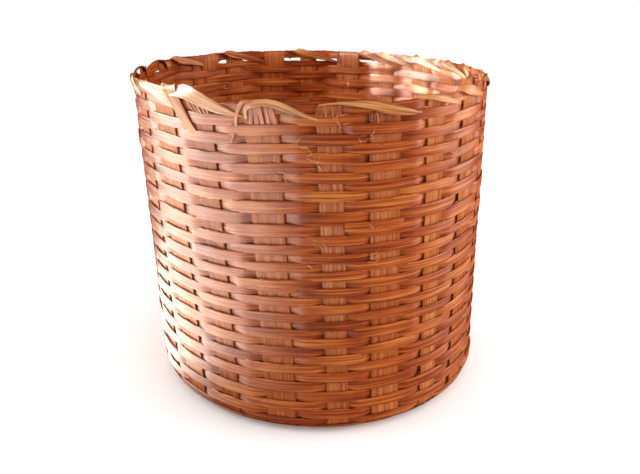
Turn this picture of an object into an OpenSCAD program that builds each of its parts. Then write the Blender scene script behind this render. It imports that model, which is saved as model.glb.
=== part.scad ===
// Round open basket woven from flat bamboo splints.
// Eleven splints cross in a plaited mat under the base, fan out and turn up as the uprights of the wall.
// Rounds of weaving pass over one upright and under the next; each round is one splint with lapped ends.
// A spiral lashing binds the last round to the tips of the uprights.
// Millimetres, +Z up, origin on the table under the middle of the basket.

/* [Basket] */
// Outside diameter over the rim lashing
rim_d = 268; // [240:1:306]
// How much narrower the wall is just above its rounded corner
flare = 6; // [0:0.5:20]
// Radius of the rounded corner, to the middle of the uprights
corner_r = 12; // [11:0.5:18]
// How far the leaning rim stands off towards -X
rim_shift = 7.6; // [0:0.2:12]
// Turn of the whole weave about the upright axis, in degrees
weave_turn = -4; // [-8:0.5:8]

/* [Uprights] */
// Splints laid along X under the base, each making two uprights
splints_x = 5; // [4:1:6]
// Splints laid along Y under the base, each making two uprights
splints_y = 6; // [4:1:7]
// Width of the broad leg of a splint
leg_broad = 21.5; // [18:0.5:23]
// Width of its narrow leg
leg_narrow = 15.5; // [11:0.5:17]
// Thickness of the uprights
upright_t = 0.9; // [0.6:0.1:1.2]
// Space between the splints of the mat under the base
mat_gap = 0.55; // [0.5:0.05:2]

/* [Weavers] */
// Rounds of weaving in the wall, up to the rim
wall_rounds = 34; // [26:1:37]
// Width of the fine weavers of the upper wall
fine_w = 5.9; // [5:0.1:7]
// Width of the weavers of the lower wall
low_w = 6.6; // [5:0.1:7.5]
// Number of rounds woven with the lower weavers
low_rounds = 10; // [0:1:20]
// Width of the odd broad weavers
broad_w = 7.8; // [6:0.1:8.5]
// Rounds woven with a broad weaver, counted from the table
broad_rounds = [3, 4, 22, 23, 24]; // [1:1:34]
// Rounds of weaving round the corner
corner_rounds = 3; // [2:1:3]
// Least space between the rounds at the corner
corner_gap = 0.4; // [0.2:0.1:1]
// Rounds of weaving under the base
base_rounds = 5; // [3:1:5]
// Least space between the rounds under the base
base_gap = 1.2; // [0.8:0.1:2]
// Thickness of every weaver
weaver_t = 0.7; // [0.5:0.05:0.9]
// Space between one round and the next
row_gap = 0.2; // [0.1:0.05:0.5]

/* [Rim] */
// Width of the lashing splint
lash_w = 5.5; // [3.5:0.5:6.5]
// Thickness of the lashing splint
lash_t = 0.5; // [0.4:0.05:0.8]
// Angle from the front at which the tucked splint leaves the rim
tuck_angle = -44; // [-60:1:60]
// How far round the wall the tucked splint slants, in degrees
tuck_slant = 8.5; // [2:0.5:12]
// Rounds that the tucked splint covers below the rim
tuck_rounds = 4; // [2:1:6]
// Width of the tucked splint at the rim
tuck_w = 11; // [6:0.5:13]

/* [Hidden] */
// Running clearance between crossing splints
clearance = 0.25;
// Clearance between the two layers of a lapped end
lap_gap = 0.15;
// How far a weaver stays flat past the edge of an upright
flat_margin = 0.5;
// Uprights spanned by the lap of a wall weaver, past the one it starts on
lap_legs = 2;
// Uprights between the lap of one round and the lap of the next
lap_walk = 7;
// Segments of a splint's fan and of its corner
fan_parts = 4;
corner_parts = 6;
// Places of the first and last base round between mat and corner, and how the others close up outwards
base_start = 0.16;
base_finish = 0.93;
base_ease = 0.85;
// Least room between a slanting upright and the edge of a weaver, where they would otherwise touch
slant_margin = 0.02;
// Segments of the tucked splint, and how much of its width it keeps at its tip
tuck_parts = 6;
tuck_taper = 0.55;

base_d = rim_d - flare;
rounds = round(wall_rounds);
legs = 2 * (splints_x + splints_y);
step = 360 / legs;
lane = leg_broad + mat_gap;

// The lashing passes between the last two rounds
rim_gap = lash_t + 2 * clearance;
wall_h = row_rise(rounds) + row_w(rounds);

// Upright weavers stand on a slanting wall, so their edges come nearer to it than their middles
wall_slant = (flare / 2 + rim_shift) / wall_h;
slant_room = wall_slant * broad_w / 2;
// Middle of a weaver to the middle of an upright that it passes
swing = (upright_t + weaver_t) / 2 + max(clearance, slant_room + slant_margin);
lap_step = weaver_t + lap_gap;
weave_out = swing + weaver_t / 2 + lap_step;
mat_swing = (upright_t + clearance) / 2;
// A flat band stands proud of the round wall at its ends: a weaver over an upright, and the lashing
flat_bulge = pow(leg_broad / 2 + flat_margin, 2) / rim_d;
lash_bulge = pow(lash_w, 2) / rim_d;

// Radii to the middle of the uprights
base_r = base_d / 2 - weave_out;
rim_r = rim_d / 2 - weave_out - flat_bulge - clearance - lash_t;
flat_r = base_r - corner_r;

// Heights: the base weavers stand on the table
base_z = swing + weaver_t / 2;
wall_z = base_z + corner_r;
rim_z = wall_z + wall_h;
bundle_top = rim_z + clearance;
bundle_bottom = rim_z - row_w(rounds) - clearance;
// The lashing cuts the corners of that bundle as far as half the clearance allows
bundle_cut = 2 * clearance + lash_t - (lash_t + clearance) / sqrt(2);

// The box of the leaning basket is centred on the origin
left_reach = max(rim_d / 2 + rim_shift, base_d / 2);
right_reach = max(rim_d / 2 - rim_shift, base_d / 2);
base_x = (left_reach - right_reach) / 2;
rim_axis = wall_axis(rim_z - row_w(rounds) / 2)[0];

function wrap(i, n) = i - n * floor(i / n);
function odd(i) = wrap(i, 2) == 1;
function radial(a) = [sin(a), -cos(a), 0];
function along(a) = [cos(a), sin(a), 0];
function turned(v) = [-v[1], v[0], 0];
function lerp(a, b, f) = a + (b - a) * f;

// Width and lower edge of a wall round, counted from the table
function row_w(row) =
    len(search(row, broad_rounds)) > 0 ? broad_w
    : row <= low_rounds ? low_w
    : fine_w;
function row_rise(row) =
    row <= 1 ? 0
    : row_rise(row - 1) + row_w(row - 1) + (row == rounds ? rim_gap : row_gap);
function row_z(row) = wall_z + row_rise(row);

// Radius and centre of the leaning, flaring wall at a height
function rise(z) = max(0, (z - wall_z) / (rim_z - wall_z));
function wall_r(z) = lerp(base_r, rim_r, rise(z));
function wall_axis(z) = [base_x - rim_shift * rise(z), 0, z];

// An upright as [direction of its splint, splints that way, splints across, number, end of the splint]
// Uprights are numbered from the left of the front, seen from above anticlockwise.
function leg(k) =
    k <= splints_y ? [weave_turn, splints_y, splints_x, k, 1]
    : k <= splints_y + splints_x ? [weave_turn + 90, splints_x, splints_y, k - splints_y, 1]
    : k <= 2 * splints_y + splints_x
        ? [weave_turn, splints_y, splints_x, splints_y + 1 + legs / 2 - k, -1]
    : [weave_turn + 90, splints_x, splints_y, legs + 1 - k, -1];
function leg_angle(k) = weave_turn + (k - (splints_y + 1) / 2) * step;
function leg_no(k) = wrap(k - 1, legs) + 1;
function end_w(i, end) = odd(i) == (end > 0) ? leg_broad : leg_narrow;
function leg_w(k) = end_w(leg(k)[3], leg(k)[4]);
function fan_angle(l) = (l[3] - (l[1] + 1) / 2) * step;
function lane_y(l) = (l[3] - (l[1] + 1) / 2) * lane;
function mat_edge(l) = l[2] / 2 * lane;

// Plan point and direction of a splint on its way from the mat (t = 0) to the corner (t = 1)
function plan(l, p) = radial(l[0]) * p[0] + along(l[0]) * p[1];
function fan_ends(l) = [
    [l[4] * mat_edge(l), lane_y(l)],
    [l[4] * flat_r * cos(fan_angle(l)), flat_r * sin(fan_angle(l))]
];
function fan_curve(l) =
    let (
        p = fan_ends(l),
        reach = norm(p[1] - p[0]) / 3,
        out = [l[4] * cos(fan_angle(l)), sin(fan_angle(l))]
    )
    [p[0], p[0] + [l[4] * reach, 0], p[1] - out * reach, p[1]];
function fan_at(l, t) =
    let (c = fan_curve(l), s = 1 - t)
    plan(l, s * s * s * c[0] + 3 * s * s * t * c[1] + 3 * s * t * t * c[2] + t * t * t * c[3]);
function fan_way(l, t) =
    let (c = fan_curve(l), s = 1 - t)
    let (d = plan(l, s * s * (c[1] - c[0]) + 2 * s * t * (c[2] - c[1]) + t * t * (c[3] - c[2])))
    d / norm(d);

// Width of a splint under the base, at a distance u along it from the middle of the mat
function splint_w(l, u) =
    lerp(end_w(l[3], -1), end_w(l[3], 1), 0.5 + 0.5 * max(-1, min(1, u / fan_ends(l)[1][0] * l[4])));
function fan_w(l, t) = splint_w(l, fan_at(l, t) * radial(l[0]));

// Stations of half a splint, from the mat out and up to the rim: [middle, across, outward, width]
function half_splint(l) =
    let (
        face = l[4] > 0 ? l[0] + fan_angle(l) : l[0] + 180 - fan_angle(l),
        w = end_w(l[3], l[4])
    )
    concat(
        [for (i = [0 : fan_parts]) let (t = i / fan_parts) [
            fan_at(l, t) + [base_x, 0, base_z], l[4] * turned(fan_way(l, t)), [0, 0, -1], fan_w(l, t)
        ]],
        [for (i = [1 : corner_parts]) let (a = 90 * i / corner_parts) [
            (flat_r + corner_r * sin(a)) * radial(face) + [base_x, 0, wall_z - corner_r * cos(a)],
            l[4] * along(face),
            sin(a) * radial(face) - [0, 0, cos(a)],
            w
        ]],
        [[wall_axis(rim_z) + rim_r * radial(face), l[4] * along(face), radial(face), w]]
    );

// Stations of a splint across the mat, over and under the splints of the other direction
function crossing_level(i, q, along_y) = (odd(i + q) ? -1 : 1) * (along_y ? -1 : 1) * mat_swing;
function mat_splint(l, along_y) =
    [for (n = [0 : l[2] - 1]) for (edge = [1, -1])
        let (
            // the lanes of the other direction, met from this splint's first end to its second
            q = along_y ? n + 1 : l[2] - n,
            other = [0, l[2], l[1], q, 1],
            u = ((l[2] - 1) / 2 - n) * lane,
            meet = along_y ? lane_y(l) : -lane_y(l),
            half = splint_w(other, meet) / 2 + flat_margin
        )
        [
            plan(l, [u + edge * half, lane_y(l)]) + [base_x, 0, base_z + crossing_level(l[3], q, along_y)],
            along(l[0]),
            [0, 0, -1],
            splint_w(l, u + edge * half)
        ]
    ];

// Solid ribbon through stations [middle, across, outward, width]
module ribbon(stations, thick) {
    n = len(stations);
    corners = [[-1, -1], [1, -1], [1, 1], [-1, 1]];
    points = [for (s = stations) for (c = corners)
        s[0] + s[1] * s[3] / 2 * c[0] + s[2] * thick / 2 * c[1]];
    sides = [for (i = [0 : n - 2]) for (k = [0 : 3])
        let (a = 4 * i + k, b = 4 * i + wrap(k + 1, 4))
        each [[a, b + 4, b], [a, a + 4, b + 4]]];
    last = 4 * (n - 1);
    ends = [[0, 1, 2], [0, 2, 3], [last, last + 2, last + 1], [last, last + 3, last + 2]];
    polyhedron(points, concat(sides, ends));
}

function reversed(list) = [for (i = [len(list) - 1 : -1 : 0]) list[i]];

// One splint: up the wall, round the corner, across the mat and up the other side
module splint(first, along_y) {
    second = [first[0], first[1], first[2], first[3], -1];
    color(along_y ? "peru" : "sandybrown")
    ribbon(
        concat(reversed(half_splint(first)), mat_splint(first, along_y), half_splint(second)),
        upright_t
    );
}
module splint_x(i) { splint([weave_turn + 90, splints_x, splints_y, i, 1], false); }
module splint_y(i) { splint([weave_turn, splints_y, splints_x, i, 1], true); }

// Rounds are numbered from the table up; corner and base rounds carry on at 0 and below.
// A round passes outside an upright (+1) or inside it (-1), the other way from its neighbours.
function side(round_no, k) = odd(round_no + k) ? 1 : -1;
function first_leg(round_no) =
    2 * floor(wrap(lap_walk * round_no, legs) / 2) + wrap(round_no, 2);
// Extra offset where the two ends of a round lap: the start lies outside the finish
function lap_offset(n, way, lap) =
    n <= lap && way > 0 ? lap_step
    : n >= legs && way < 0 ? -lap_step
    : 0;

// Offsets of a round at the uprights that it meets: [upright, offset, half of its flat]
function wall_meets(row) = [for (n = [0 : legs + lap_legs])
    let (k = leg_no(first_leg(row) + n), way = side(row, k))
    [k, way * swing + lap_offset(n, way, lap_legs), leg_w(k) / 2 + flat_margin]];

// One round of the wall, an upright band with a flat at each upright
module wall_weaver(row) {
    z = row_z(row);
    r = wall_r(z + row_w(row) / 2);
    points = [for (layer = [1, -1])
        let (
            line = [for (m = wall_meets(row)) for (end = [-1, 1])
                (r + m[1] + layer * weaver_t / 2) * radial(leg_angle(m[0])) + end * m[2] * along(leg_angle(m[0]))]
        )
        each layer > 0 ? line : reversed(line)];
    color(odd(row) ? "chocolate" : "sienna")
    translate([wall_axis(z + row_w(row) / 2)[0], 0, z])
    linear_extrude(row_w(row))
    polygon([for (p = points) [p[0], p[1]]]);
}

// One round on the corner, tilted to lie against it; the rounds and their spaces fill the quarter turn
corner_face = corner_r - swing - weaver_t / 2;
corner_outer = corner_r + swing + weaver_t / 2;
corner_w = (PI / 2 * corner_face - corner_rounds * corner_gap)
    / (corner_rounds - 1 / 2 + corner_face / corner_outer);
corner_sag = corner_w * corner_w / 4 / (2 * corner_r - upright_t);
corner_inner = corner_face - corner_sag;
// Tilt of the lowest round, which stays clear of the table, and of the highest, clear of the wall
corner_first = 2 * atan(corner_w / 2 / corner_outer);
corner_last = 90 - atan((corner_w / 2 + row_gap) / corner_inner);
module corner_weaver(c) {
    round_no = c - corner_rounds;
    tilt = lerp(corner_first, corner_last, (c - 1) / (corner_rounds - 1));
    stations = [for (n = [0 : legs]) for (end = [-1, 1])
        let (
            k = leg_no(first_leg(round_no) + n),
            way = side(round_no, k),
            off = way * swing - (way < 0 ? corner_sag : 0) + lap_offset(n, way, 0),
            out = radial(leg_angle(k)),
            normal = sin(tilt) * out - [0, 0, cos(tilt)]
        )
        [
            [base_x, 0, wall_z] + flat_r * out + (corner_r + off) * normal
                + end * (leg_w(k) / 2 + flat_margin) * along(leg_angle(k)),
            cos(tilt) * out + [0, 0, sin(tilt)],
            normal,
            corner_w
        ]];
    color("chocolate") ribbon(stations, weaver_t);
}

// One round under the base, square near the mat and round at the corner
function base_t(b) = lerp(base_start, base_finish, pow((b - 1) / (base_rounds - 1), base_ease));
base_pitch = min([for (b = [2 : base_rounds]) for (k = [1 : legs])
    norm(fan_at(leg(k), base_t(b)) - fan_at(leg(k), base_t(b - 1)))]);
base_w = min(corner_w, base_pitch - base_gap);
module base_weaver(b) {
    round_no = b - base_rounds - corner_rounds;
    t = base_t(b);
    stations = [for (n = [0 : legs]) for (end = [-1, 1])
        let (
            k = leg_no(first_leg(round_no) + n),
            l = leg(k),
            way = side(round_no, k),
            out = fan_way(l, t)
        )
        [
            fan_at(l, t) + [base_x, 0, base_z - way * swing - lap_offset(n, way, 0)]
                + end * (fan_w(l, t) / 2 + flat_margin) * turned(out),
            out,
            [0, 0, -1],
            base_w
        ]];
    color("sienna") ribbon(stations, weaver_t);
}

// Lashing: one splint wound in a spiral round the last round and the uprights' tips
lash_in = rim_r - weave_out - lash_bulge - clearance - lash_t / 2;
lash_out = rim_r + weave_out + flat_bulge + clearance + lash_t / 2;
lash_low = bundle_bottom - lash_t / 2;
lash_high = bundle_top + lash_t / 2;
// Section of the wrap as [radius, height, normal's angle above the radius]
lash_section = [
    [lash_in + bundle_cut, lash_low, 247.5], [lash_in, lash_low + bundle_cut, 202.5],
    [lash_in, lash_high - bundle_cut, 157.5], [lash_in + bundle_cut, lash_high, 112.5],
    [lash_out - bundle_cut, lash_high, 67.5], [lash_out, lash_high - bundle_cut, 22.5],
    [lash_out, lash_low + bundle_cut, -22.5], [lash_out - bundle_cut, lash_low, -67.5]
];
function section_step(i) =
    let (a = lash_section[wrap(i - 1, 8)], b = lash_section[wrap(i, 8)])
    norm([b[0] - a[0], b[1] - a[1]]);
function section_way(i) = i <= 0 ? 0 : section_way(i - 1) + section_step(i);
lash_loop = section_way(8);
lash_slant = atan(2 * PI * rim_r / legs / lash_loop);
module rim_lashing() {
    // the crossing under the last round is centred between two uprights
    start = leg_angle(1) + step / 2 + step * section_step(8) / 2 / lash_loop;
    stations = [for (i = [0 : 8 * legs - 1])
        let (
            s = lash_section[wrap(i, 8)],
            a = start + step * (floor(i / 8) + section_way(wrap(i, 8)) / lash_loop)
        )
        [
            [rim_axis, 0, s[1]] + s[0] * radial(a),
            along(a),
            cos(s[2]) * radial(a) + [0, 0, sin(s[2])],
            lash_w / cos(lash_slant)
        ]];
    color("tan") ribbon(stations, lash_t);
}

// Splint end drawn slantwise over the first rounds below the rim and tucked in at a point
tuck_off = weave_out + flat_bulge + clearance + lash_t + clearance + weaver_t / 2
    + wall_slant * (bundle_top - bundle_bottom);
module tucked_splint() {
    low = row_z(rounds - tuck_rounds);
    stations = [for (i = [0 : tuck_parts])
        let (
            f = i / tuck_parts,
            a = tuck_angle + f * tuck_slant,
            z = lerp(bundle_top, low, f)
        )
        [
            wall_axis(z) + (wall_r(z) + tuck_off) * radial(a),
            along(a),
            radial(a),
            tuck_w * lerp(1, tuck_taper, f)
        ]];
    color("wheat") ribbon(stations, weaver_t);
}

function numbered(name, n) = [for (i = [1 : n]) str(name, i < 10 ? "0" : "", i)];
splint_x_names = numbered("splint_x_", splints_x);
splint_y_names = numbered("splint_y_", splints_y);
base_names = numbered("base_weaver_", base_rounds);
corner_names = numbered("corner_weaver_", corner_rounds);
wall_names = numbered("wall_weaver_", rounds);

for (i = [1 : splints_x]) splint_x(i);
for (i = [1 : splints_y]) splint_y(i);
for (i = [1 : base_rounds]) base_weaver(i);
for (i = [1 : corner_rounds]) corner_weaver(i);
for (i = [1 : rounds]) wall_weaver(i);
rim_lashing();
tucked_splint();
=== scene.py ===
import math

import bpy
import numpy as np
from mathutils import Matrix, Vector


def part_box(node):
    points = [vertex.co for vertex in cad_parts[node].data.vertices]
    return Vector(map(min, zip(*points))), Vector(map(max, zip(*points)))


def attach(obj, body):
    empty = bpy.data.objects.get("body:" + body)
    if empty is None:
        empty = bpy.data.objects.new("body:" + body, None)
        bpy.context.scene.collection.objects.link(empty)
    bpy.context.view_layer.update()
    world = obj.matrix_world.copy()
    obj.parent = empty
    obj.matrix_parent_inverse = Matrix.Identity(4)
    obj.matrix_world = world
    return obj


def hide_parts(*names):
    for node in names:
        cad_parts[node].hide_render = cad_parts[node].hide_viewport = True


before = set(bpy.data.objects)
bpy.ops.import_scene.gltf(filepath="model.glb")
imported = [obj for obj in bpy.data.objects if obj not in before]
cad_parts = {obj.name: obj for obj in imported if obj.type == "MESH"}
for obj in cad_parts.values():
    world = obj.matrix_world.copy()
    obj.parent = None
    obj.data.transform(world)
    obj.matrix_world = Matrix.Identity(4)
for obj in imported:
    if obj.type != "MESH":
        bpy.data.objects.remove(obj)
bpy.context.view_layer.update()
print("frame loaded:", len(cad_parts), "nodes")

mm = 0.001

# Angles are in degrees from the front, anticlockwise seen from above. A leg is the half of a splint that
# stands in the wall, and legs are numbered from the left of the front.
layout = {
    "splintsX": 5, "splintsY": 6, "turn": -4,
    "baseRadius": 128.75 * mm, "rimRadius": 130.53 * mm, "cornerRadius": 12 * mm,
    "baseLevel": 1.65 * mm, "wallFoot": 13.4 * mm, "rimTop": 236.5 * mm,
    "baseCentre": 5.3 * mm, "rimShift": 7.6 * mm,      # the rim leans this far to the left of the base
    "broad": 21.5 * mm, "narrow": 15.5 * mm, "splintThick": 0.9 * mm,
    "lane": 22.05 * mm,                                # from one splint to the next in the mat
    "wallRounds": 34, "cornerRounds": 3, "baseRounds": 5,
    "legLean": 1.3,        # legs stand this much further round at their foot than at the rim
}
# how far a leg stands off its even place, because hands don't space them evenly
legNudge = {
    1: -1, 2: -1.5, 4: 1.4, 5: 0.5, 6: 1.1, 7: 1.7, 8: 1.5, 11: -1.5,
    12: -3, 13: -2.5, 14: -2.3, 15: -2.2, 16: -3.2, 17: -3.5, 18: -3.5, 19: -1.5,
}
# the rim dips at the front and stands up on both sides of the dip: height, angle and half breadth
rimSwells = [(-1.3 * mm, 8, 36), (1.8 * mm, -50, 16), (1 * mm, 58, 14)]
# a hand-made ring is never quite round: size, waves around, and their start and turn per metre in radians
outOfRound = [(0.35 * mm, 2, 0.7, 0), (0.25 * mm, 3, 2, 9)]

legCount = 2 * (layout["splintsX"] + layout["splintsY"])
legStep = 360 / legCount
nudges = np.array([legNudge.get(k, 0) for k in range(1, legCount + 1)])
baseMiddle = np.array([layout["baseCentre"], 0, layout["baseLevel"]])


def lerp(a, b, t):
    return a + (b - a) * t


def smooth(t):
    t = np.clip(t, 0, 1)
    return t * t * (3 - 2 * t)


def unit(v):
    return v / np.linalg.norm(v, axis=-1, keepdims=True)


def radial(angle):
    a = np.radians(angle)
    return np.stack([np.sin(a), -np.cos(a), 0 * a], -1)


def along(angle):
    a = np.radians(angle)
    return np.stack([np.cos(a), np.sin(a), 0 * a], -1)


# An angle as -180 to 180 degrees from the front
def fromFront(angle):
    return (angle + 180) % 360 - 180


# Share of the way from the foot of the wall to the rim; folds may stand a little above it
def rise(z):
    return np.clip((z - layout["wallFoot"]) / (layout["rimTop"] - layout["wallFoot"]), 0, 1.02)


# A point of the leaning wall; off is measured outwards from the middle of the legs
def wallPoint(angle, z, off):
    a = np.radians(angle)
    wobble = sum(size * np.sin(n * a + start + turn * z) for size, n, start, turn in outOfRound) * rise(z)
    swell = sum(high * np.exp(-((fromFront(angle) - at) / broad) ** 2) for high, at, broad in rimSwells)
    r = lerp(layout["baseRadius"], layout["rimRadius"], rise(z)) + wobble + off
    p = r[..., None] * radial(angle)
    p[..., 0] += layout["baseCentre"] - layout["rimShift"] * rise(z)
    p[..., 2] = z + swell * rise(z) ** 2
    return p


# A smooth seeded wander around the basket, as a function of the angle
def waves(rng, size, slowest, fastest):
    turns = np.arange(slowest, fastest + 1)
    phases = rng.uniform(0, 2 * math.pi, len(turns))
    sizes = rng.normal(0, 1, len(turns)) / np.sqrt(len(turns))

    def at(angle):
        return size * sum(s * np.sin(n * np.radians(angle) + p) for n, s, p in zip(turns, sizes, phases))
    return at


def legAngle(k, z=0.0):
    even = layout["turn"] + (k - (layout["splintsY"] + 1) / 2) * legStep
    return even + nudges[(np.asarray(k) - 1) % legCount] + layout["legLean"] * (1 - rise(z))


# Leg before an angle, and how far past it the angle is, as a share of the way to the next
def legPlace(angle, z):
    steps = (angle - layout["legLean"] * (1 - rise(z)) - layout["turn"]) / legStep
    k = np.floor(steps + (layout["splintsY"] + 1) / 2).astype(int)
    k = np.where(angle < legAngle(k, z), k - 1, k)
    k = np.where(angle >= legAngle(k + 1, z), k + 1, k)
    before = legAngle(k, z)
    return k, (angle - before) / (legAngle(k + 1, z) - before)


# Splint of leg k: direction it lies in, splints beside it, splints across it, its number, its end and k
def legSplint(k):
    nx, ny = layout["splintsX"], layout["splintsY"]
    k = (k - 1) % legCount + 1
    if k <= ny:
        return layout["turn"], ny, nx, k, 1, k
    if k <= ny + nx:
        return layout["turn"] + 90, nx, ny, k - ny, 1, k
    if k <= 2 * ny + nx:
        return layout["turn"], ny, nx, ny + 1 + legCount // 2 - k, -1, k
    return layout["turn"] + 90, nx, ny, legCount + 1 - k, -1, k


# A splint is broad at one end and narrow at the other, and its neighbours lie the other way round
def endWidth(i, end):
    return layout["broad"] if (i % 2 == 1) == (end > 0) else layout["narrow"]


legWidths = np.array([endWidth(*legSplint(k)[3:5]) for k in range(1, legCount + 1)])


# +1 where a round passes outside leg k, -1 where it passes inside
def passes(roundNo, k):
    return np.where((roundNo + k) % 2 == 1, 1, -1)


# A round starts behind this leg, about seven legs on from the round below so that the laps don't pile up
def firstLeg(roundNo):
    return 2 * (((7 * roundNo) % legCount) // 2) + roundNo % 2


# An sRGB hex colour as linear RGBA
def linear(hexColour):
    values = [int(hexColour[i:i + 2], 16) / 255 for i in (1, 3, 5)]
    return [c / 12.92 if c <= 0.04045 else ((c + 0.055) / 1.055) ** 2.4 for c in values] + [1]


# One node. links maps its inputs to sockets, values its inputs to constants, settings its properties.
def addNode(tree, kind, at, links=None, values=None, **settings):
    node = tree.nodes.new(kind)
    node.location = at
    for key, value in settings.items():
        setattr(node, key, value)
    for key, value in (values or {}).items():
        node.inputs[key].default_value = value
    for key, socket in (links or {}).items():
        tree.links.new(socket, node.inputs[key])
    return node


bambooFinishes = {
    # split inner bamboo: warm red brown, coarse open fibres that break the light into streaks
    "splitBamboo": {
        "dark": "#88380e", "mid": "#ba5e2a", "light": "#d8925a",
        "fibre": 0.7 * mm, "streak": 2.4 * mm, "grain": 30 * mm,
        "roughness": 0.52, "gloss": 0.15, "coat": 0.03, "contrast": 1.1,
    },
    # shaved outer bamboo: orange brown, smooth enough for a broad satin sheen
    "shavedBamboo": {
        "dark": "#823006", "mid": "#b44e14", "light": "#d47e34",
        "fibre": 1.0 * mm, "streak": 2.2 * mm, "grain": 45 * mm,
        "roughness": 0.5, "gloss": 0.25, "coat": 0.05, "contrast": 1.6,
    },
    # thin shavings folded over the rim: straw to tan, fine even grain
    "bambooShavings": {
        "dark": "#96481a", "mid": "#cc8044", "light": "#e6ac74",
        "fibre": 0.9 * mm, "streak": 2.0 * mm, "grain": 45 * mm,
        "roughness": 0.5, "gloss": 0.25, "coat": 0.05, "contrast": 1.6,
    },
}
# what the three have in common
bambooGrain = {
    "streakLength": 2.5,                        # streaks run this many times longer than fibres
    "patchLong": 38 * mm, "patchWide": 14 * mm, "patchShare": 0.4,
    "noiseMiddle": 1.2,                         # fibre, streak and patch noise add up to this on average
    "matter": 0.1, "glossier": 0.08,            # streaks change the roughness by up to this much
    "relief": 0.2 * mm, "ior": 1.5, "anisotropy": 0.75, "coatRoughness": 0.4,
}


def bambooMaterial(name, finish):
    grain = bambooGrain
    material = bpy.data.materials.new(name)
    material.use_nodes = True
    tree = material.node_tree
    tree.nodes.clear()
    uv = addNode(tree, "ShaderNodeUVMap", (-1200, 0), uv_map="splint")

    # fibres of bamboo are 0.1 to 0.3 mm; drawn coarser, because finer ones vanish at this distance
    def noise(height, lengthwise, crosswise, detail):
        scaled = addNode(tree, "ShaderNodeMapping", (-1000, height), {"Vector": uv.outputs[0]},
                         {"Scale": (1 / lengthwise, 1 / crosswise, 1)})
        return addNode(tree, "ShaderNodeTexNoise", (-800, height), {"Vector": scaled.outputs[0]},
                       {"Scale": 1, "Detail": detail, "Roughness": 0.6})

    fibreNoise = noise(300, finish["grain"], finish["fibre"], 3)
    streakNoise = noise(0, grain["streakLength"] * finish["grain"], finish["streak"], 2)
    # cloudy patches where the skin is more or less shaved away
    patchNoise = noise(-300, grain["patchLong"], grain["patchWide"], 2)
    tone = addNode(tree, "ShaderNodeAttribute", (-800, -600), attribute_name="tone")
    streaks = addNode(tree, "ShaderNodeMath", (-600, 100),
                      {0: fibreNoise.outputs[0], 1: streakNoise.outputs[0]}, operation="ADD")
    mottle = addNode(tree, "ShaderNodeMath", (-450, 0), {0: patchNoise.outputs[0], 2: streaks.outputs[0]},
                     {1: grain["patchShare"]}, operation="MULTIPLY_ADD")
    centred = addNode(tree, "ShaderNodeMath", (-300, 0), {0: mottle.outputs[0]},
                      {1: grain["noiseMiddle"]}, operation="SUBTRACT")
    shade = addNode(tree, "ShaderNodeMath", (-150, -100), {0: centred.outputs[0], 2: tone.outputs["Fac"]},
                    {1: finish["contrast"]}, operation="MULTIPLY_ADD")
    ramp = addNode(tree, "ShaderNodeValToRGB", (0, -100), {"Fac": shade.outputs[0]})
    stops = ramp.color_ramp.elements
    stops[0].position = 0.1
    stops[0].color = linear(finish["dark"])
    stops[1].position = 0.9
    stops[1].color = linear(finish["light"])
    stops.new(0.5).color = linear(finish["mid"])
    matte = addNode(tree, "ShaderNodeMapRange", (0, 200), {"Value": streakNoise.outputs[0]},
                    {"From Min": 0.3, "From Max": 0.7, "To Min": finish["roughness"] - grain["glossier"],
                     "To Max": finish["roughness"] + grain["matter"]})
    relief = addNode(tree, "ShaderNodeBump", (0, 500), {"Height": streaks.outputs[0]},
                     {"Distance": grain["relief"]})
    # fibres spread a highlight across themselves
    grainWay = addNode(tree, "ShaderNodeTangent", (0, -400), direction_type="UV_MAP", uv_map="splint")
    shader = addNode(tree, "ShaderNodeBsdfPrincipled", (350, 0),
                     {"Base Color": ramp.outputs[0], "Roughness": matte.outputs[0],
                      "Normal": relief.outputs[0], "Tangent": grainWay.outputs[0]},
                     {"IOR": grain["ior"], "Specular IOR Level": finish["gloss"],
                      "Anisotropic": grain["anisotropy"], "Anisotropic Rotation": 0.25,
                      "Coat Weight": finish["coat"], "Coat Roughness": grain["coatRoughness"]})
    addNode(tree, "ShaderNodeOutputMaterial", (650, 0), {"Surface": shader.outputs[0]})
    return material


materials = {name: bambooMaterial(name, finish) for name, finish in bambooFinishes.items()}
print("materials mixed")

# The four kinds of splint. The face has this many columns of points and rises by the crown in its middle,
# ridge is the height of its fibres, and the edge darkening is how much darker the cut edges are: partly
# stain, partly painted shade where the strips meet.
uprightLook = {"columns": 17, "crown": 0.1 * mm, "ridge": 0.06 * mm, "edgeStainAndShade": 0.15,
               "material": "splitBamboo", "slot": "upright_splint"}
weaverLook = {"columns": 9, "crown": 0.04 * mm, "ridge": 0.05 * mm, "edgeStainAndShade": 0.1,
              "material": "shavedBamboo", "slot": "weaver_splint"}
rimLook = {"columns": 9, "crown": 0.1 * mm, "ridge": 0.05 * mm, "edgeStainAndShade": 0.25,
           "material": "bambooShavings", "slot": "rim_splint"}
hairLook = {"columns": 3, "crown": 0, "ridge": 0, "edgeStainAndShade": 0,
            "material": "bambooShavings", "slot": "weaver_splint"}

# How a hand-split splint varies. faceEdge and inner are places across it, as shares of half its width.
handSplit = {
    "faceEdge": 0.95, "inner": (0.9, 0.3, -0.3, -0.9),
    "innerCrown": 0.8,                     # the inner face follows the crown, so the splint is cupped
    "ridgeLong": (20 * mm, 70 * mm), "ridgeFade": 0.7,
    "edgeWaves": (1, 2.3, 5),              # lengths of the edge's waves, against the shortest
    "nickEvery": 160 * mm, "nickDeep": 4, "nickLong": (1 * mm, 4 * mm),
    "grainShift": (0.731, 0.0917),         # moves the grain, so that no two splints have the same
}


# Way along a path, station by station
def runOf(mid):
    return np.concatenate([[0], np.cumsum(np.linalg.norm(np.diff(mid, axis=0), axis=1))])


# Across and outward directions square to the way of the path
def frameOf(mid, normal):
    way = unit(np.gradient(mid, axis=0))
    across = unit(np.cross(normal, way))
    return across, unit(np.cross(way, across))


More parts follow.
